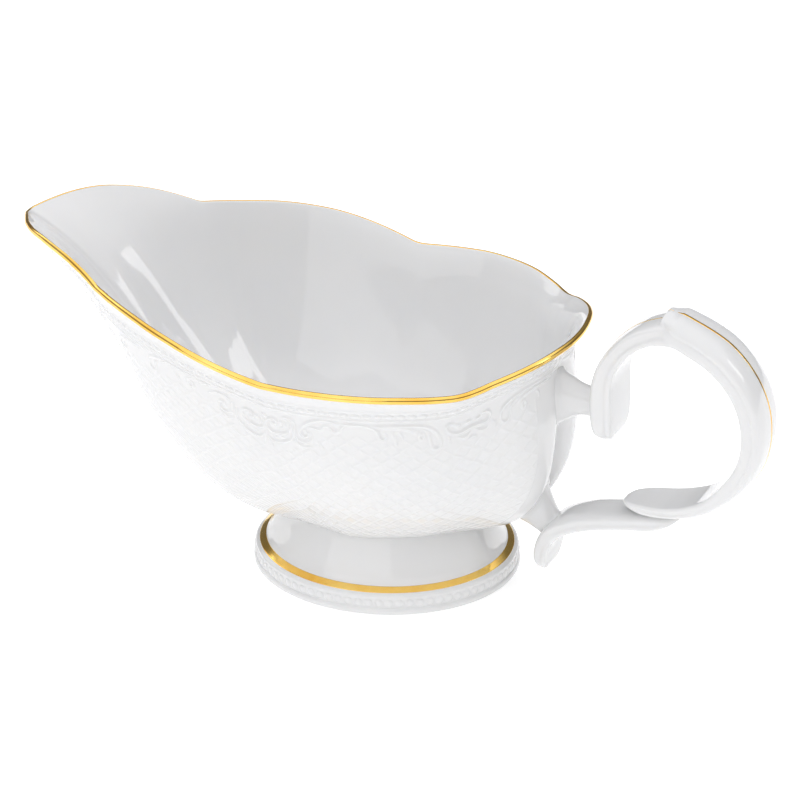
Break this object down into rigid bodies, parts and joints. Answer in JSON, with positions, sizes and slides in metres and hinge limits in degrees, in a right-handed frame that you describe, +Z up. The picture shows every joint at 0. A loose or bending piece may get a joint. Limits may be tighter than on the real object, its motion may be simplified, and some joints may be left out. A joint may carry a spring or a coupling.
{
  "type": "cream jug",
  "caption": "Footed porcelain cream jug in sauce-boat form: scalloped bowl with a long pouring spout, oval pedestal foot, scrolled loop handle and fired gold lines.",
  "frame": {"origin": "centre of the oval foot ring on the table plane", "axes": "+X from the bowl towards the handle (the spout points to -X), +Z up out of the bowl, +Y completes the right-handed frame across the bowl"},
  "size_m": [0.2218, 0.1082, 0.0899],
  "materials": {
    "porcelain": "glossy white glaze",
    "gold": "burnished fired gold"
  },
  "bodies": {
    "root": {"bowl": "porcelain", "pedestal_foot": "porcelain", "handle": "porcelain", "foot_luting_ring": "porcelain", "upper_handle_luting": "porcelain", "lower_handle_luting": "porcelain", "rim_gilding": "gold", "foot_gilding": "gold", "handle_gilding": "gold"}
  },
  "joints": []
}
